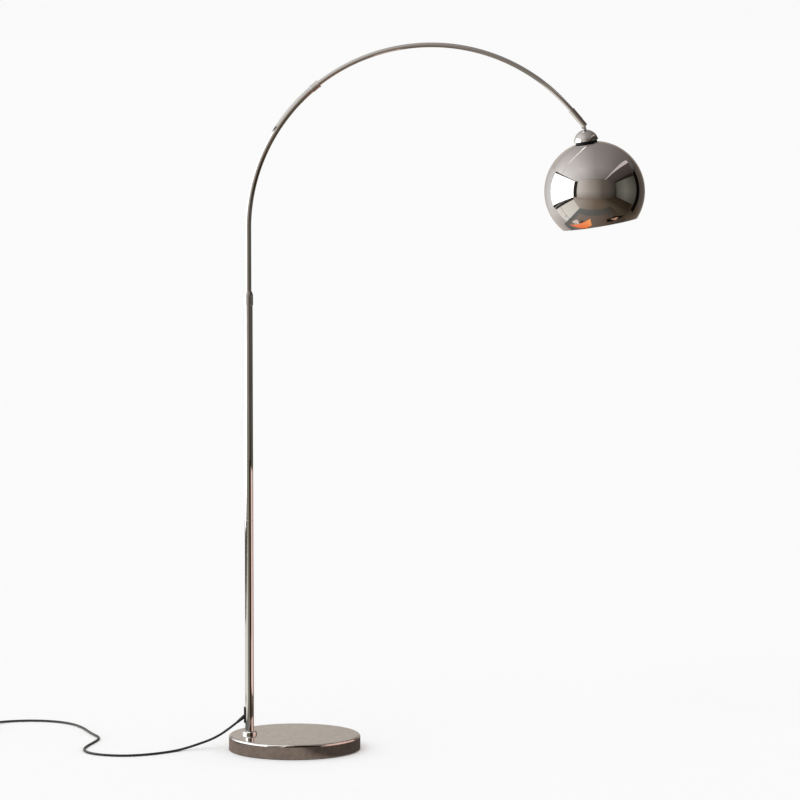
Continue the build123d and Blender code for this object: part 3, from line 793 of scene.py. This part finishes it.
def build_room_shell(left, right, near, far, bottom, top):
    """Ceiling, floor and walls, each as bright as the lamp's chrome shows it."""
    across = (left, -1.5, 0.75, 3.2, right)
    plaster = painted((1, 0.87, 0.81), (1, 0.98, 0.96), 1.0)
    wall_paint = painted((1, 0.82, 0.66), (1, 0.93, 0.86), 0.7)
    boards = painted((1, 0.70, 0.42), (1, 0.95, 0.90), 0.7)
    field("ceiling", lambda x, y: (x, y, top), across, (near, -2.0, 1.5, far), [
        (0.80, 0.47, 0.27, 0.16, 0.10),
        (0.95, 0.74, 0.375, 0.24, 0.10),
        (1.05, 0.67, 0.33, 0.205, 0.12),
        (0.70, 0.45, 0.30, 0.18, 0.10),
    ], plaster)
    field("floorboards", lambda x, y: (x, y, bottom), across, (near, -2.4, 0.0, 3.0, far), [
        (0.42, 0.29, 0.19, 0.06, 0.02),
        (0.60, 0.50, 0.20, 0.05, 0.02),
        (0.80, 0.75, 0.15, 0.035, 0.012),
        (0.80, 0.78, 0.45, 0.12, 0.05),
        (0.75, 0.70, 0.50, 0.20, 0.08),
    ], boards)
    field("near_wall", lambda x, z: (x, near, z), (left, -3.2, -0.75, 2.25, right), (bottom, 1.7, top), [
        (0.50, 0.45, 0.27, 0.10, 0.015),
        (0.75, 0.72, 0.46, 0.145, 0.03),
        (0.74, 0.70, 0.40, 0.15, 0.04),
    ], wall_paint)
    cove_lines = (("cove_line", -5.05, 0.95, 0.30), ("cove_shadow", -5.24, 0.40, 0.10))
    for name, y, left_value, right_value in cove_lines:
        ends = [plaster(left_value), plaster(right_value)]
        level(name, top - 0.02, -4.2, 2.6, y - 0.07, y + 0.07, *ends, *reversed(ends))
    field("far_wall", lambda x, z: (x, far, z), (left, -1.2, 1.1, right), (bottom, top), [
        (0.62, 0.62, 0.48, 0.10),
        (0.60, 0.60, 0.38, 0.12),
    ], wall_paint)
    shadow, pale = (0.03, 0.03, 0.025), (0.62, 0.60, 0.59)
    upright("left_wall", (left, near), (left, far), bottom, top, [shadow, pale, pale, shadow])
    upright("left_wall_pale", (-2.25, 1.9), (-2.25, far), bottom, 2.9,
            [(0.88, 0.87, 0.85), (0.62, 0.60, 0.60), (0.58, 0.56, 0.55), (0.80, 0.78, 0.76)])
    shadow, pale = (0.03, 0.025, 0.02), (0.08, 0.065, 0.055)
    upright("right_wall_beyond", (right, near), (right, far), bottom, top, [shadow, pale, pale, shadow])

    def slanted(along, up):
        return (6.97 - 2.57 * along, -5.6 + 6.8 * along, up * (4.35 - 1.55 * along))

    field("right_wall", slanted, (0, 0.62, 1), (0, 0.45, 1), [
        (0.075, 0.13, 0.045),
        (0.09, 0.20, 0.08),
        (0.08, 0.16, 0.06),
    ], painted((1, 0.93, 0.78), (1, 0.98, 0.80), 0.2))
    card("right_cornice", [(6.93, -5.6, 4.35), (4.30, 1.3, 2.75), (4.30, 1.3, 3.12), (6.93, -5.6, 4.75)],
         (0.022, 0.017, 0.012))
    field("passage", lambda x, z: (x, 3.0, z), (1.35, 2.6, 5.2), (bottom, 3.0), [
        (0.42, 0.13, 0.10),
        (0.28, 0.11, 0.08),
    ], wall_paint)
    x, nearly_black = 2.5, (0.0035, 0.003, 0.0028)
    card("doorway", [(x, 0.33, 0.48), (x, 0.78, 0.40), (x, 1.15, 2.29), (x, 0.63, 2.18)], nearly_black)


def build_ceiling_strip(right, near, z):
    """Curved pale strip across the ceiling, with a darker ceiling beyond it."""
    inner = ((3.2, near), (3.58, -2.2), (3.84, 0.0), (4.1, 1.6), (4.4, 2.94))
    outer = ((3.36, near), (3.90, -2.2), (4.38, 0.0), (4.72, 1.6), (4.95, 3.2))
    for i in range(len(inner) - 1):
        corners = [(*inner[i], z), (*outer[i], z), (*outer[i + 1], z), (*inner[i + 1], z)]
        card(f"ceiling_strip_{i}", corners, (0.72, 0.64, 0.61))
        corners = [(*outer[i], z), (right, outer[i][1], z), (right, outer[i + 1][1], z), (*outer[i + 1], z)]
        close, distant = (0.10, 0.08, 0.071), (0.06, 0.048, 0.042)
        card(f"ceiling_beyond_{i}", corners, [close, distant, distant, close])


def build_glass_door():
    """Glass door on a slant, its frame behind it and its sill on the floor."""
    bright, dark, lift = (2.3, 2.3, 2.3), (0.03, 0.028, 0.022), 0.003
    near, far = (-5.5, -4.9), (-2.24, 1.82)
    card("glass_door", [(*near, 0), (*far, 0.25), (*far, 2.72), (*near, 4.6)], bright)
    near_behind, far_behind = (-5.55, -4.9), (-2.28, 1.88)
    frame_corners = [(*near_behind, 0), (*far_behind, 0), (*far_behind, 2.9), (*near_behind, 4.79)]
    card("door_frame", frame_corners, dark)
    upright("door_post", near, (-4.47, -5.5), 0, 4.7, dark)
    card("door_sill", [(*near, lift), (-3.45, -3.25, lift), (-1.95, 1.3, lift), (-2.3, 1.6, lift)], dark)


def build_floor_cards():
    """Daylight and a rug on the floor, one just above another, and painted shade by the base's right side."""
    pale, paler = (0.80, 0.77, 0.69), (0.96, 0.94, 0.86)
    card("sunlit_floor", [(-3.45, -3.25, 0), (-0.65, -1.6, 0), (-0.49, 0.47, 0), (-1.95, 1.3, 0)],
         [pale, pale, paler, paler])
    z = 0.001
    card("rug", [(-0.65, -1.6, z), (2.2, -1.95, z), (2.3, 0.5, z), (-0.45, 1.1, z)],
         [(0.21, 0.22, 0.21), (0.05, 0.043, 0.028), (0.07, 0.045, 0.028), (0.20, 0.19, 0.18)])
    z = 0.002
    card("rug_middle", [(-0.28, -0.95, z), (1.55, -1.1, z), (1.6, 0.4, z), (-0.28, 0.5, z)],
         [(0.30, 0.25, 0.22), (0.12, 0.085, 0.06), (0.085, 0.045, 0.027), (0.30, 0.24, 0.20)])
    z = 0.003
    # Painted shade on the floor by the base's right side: cards that run from the rug's brown into dark, for the
    # base's side to mirror.
    brown, dark = (0.26, 0.21, 0.18), (0.09, 0.07, 0.06)
    level("painted_shade_by_base", z, 0.05, 0.12, -0.45, 0.15, brown, dark, dark, brown)
    level("painted_shade_beyond_base", z, 0.12, 0.55, -0.45, 0.15, dark)


def build_seats():
    """Furniture that the shade shows near its mouth."""
    card("orange_seat", [(0.51, 0.035, 1.08), (0.60, -0.467, 0.62), (0.68, -0.19, 0.70), (0.65, -0.06, 0.95)],
         [(1.2, 0.30, 0.12), (1.3, 0.52, 0.18), (1.25, 0.45, 0.15), (1.0, 0.20, 0.06)], True)
    fold = [(0.465, -0.045, 1.03), (0.434, -0.166, 0.93), (0.484, -0.154, 0.90), (0.494, -0.05, 1.0)]
    card("orange_seat_fold", fold, (0.9, 0.75, 0.68), True)
    z = 0.8
    card("dark_seat", [(1.0, -0.31, z), (1.25, -0.30, z), (1.52, -0.014, z), (0.98, -0.217, z)],
         (0.01, 0.006, 0.005), True)
    z = 0.801
    card("bright_seat", [(1.08, -0.277, z), (1.25, -0.22, z), (1.30, -0.16, z), (1.18, -0.15, z)],
         (0.6, 0.33, 0.22), True)


def build_close_cards():
    """Grey, dark and pink strips that the pole shows, and a glow over the base's rim."""
    foot = 0.03
    card("pole_grey", [(-0.10, -0.30, foot), (-0.62, -0.69, 0), (-0.62, -0.69, 0.8), (-0.10, -0.30, 0.8)],
         [(0.20, 0.175, 0.125), (0.30, 0.29, 0.22), (0.36, 0.385, 0.33), (0.25, 0.235, 0.18)], True)
    upright("pole_shadow", (0.117, -0.193), (-0.061, -0.295), foot, 0.70, (0.03, 0.02, 0.012), True)
    pink = (1.02, 0.72, 0.64)
    upright("pink_screen", (0.55, 0.3), (0.55, -0.4), foot, 0.63, pink, True)
    upright("pink_strip", (0.55, -0.4), (0.55, -0.75), foot, 0.16, pink, True)
    clear_of_pole, z = -0.03, 0.9
    card("rim_glow", [(-1.6, clear_of_pole, z), (-0.02, clear_of_pole, z), (-0.02, -0.9, z), (-1.6, -0.9, z)],
         (1.6, 1.6, 1.6), True)


def build_stage():
    """Pale floor and sky, and a soft light from the upper left."""
    scene = bpy.context.scene
    scene.view_settings.view_transform = "Standard"
    pale, reach = 0.9, 90
    data = bpy.data.meshes.new("floor")
    corners = [(x * reach, y * reach, 0) for x, y in ((-1, -1), (1, -1), (1, 1), (-1, 1))]
    data.from_pydata(corners, [], [(0, 1, 2, 3)])
    material, shader = new_material("stage_floor")
    shader.inputs["Base Color"].default_value = (pale, pale, pale, 1)
    shader.inputs["Roughness"].default_value = 1.0
    shader.inputs["Specular IOR Level"].default_value = 0.0
    data.materials.append(material)
    floor = bpy.data.objects.new("floor", data)
    scene.collection.objects.link(floor)
    floor.visible_glossy = False

    world = bpy.data.worlds.new("world")
    world.use_nodes = True
    world.node_tree.nodes["Background"].inputs["Color"].default_value = (1, 1, 1, 1)
    world.node_tree.nodes["Background"].inputs["Strength"].default_value = 0.95
    scene.world = world

    data = bpy.data.lights.new("soft_light", "SUN")
    data.energy = 0.5
    data.angle = math.radians(35)
    light = bpy.data.objects.new("soft_light", data)
    light.rotation_euler = (math.radians(32), math.radians(-28), 0)
    light.visible_glossy = False
    scene.collection.objects.link(light)


add_camera()
dress_cad_nodes()
build_cords()
build_base()
build_pole()
build_arm()
build_dome()
build_shade()
build_seal_ring()
build_bulb()
build_room()
build_stage()
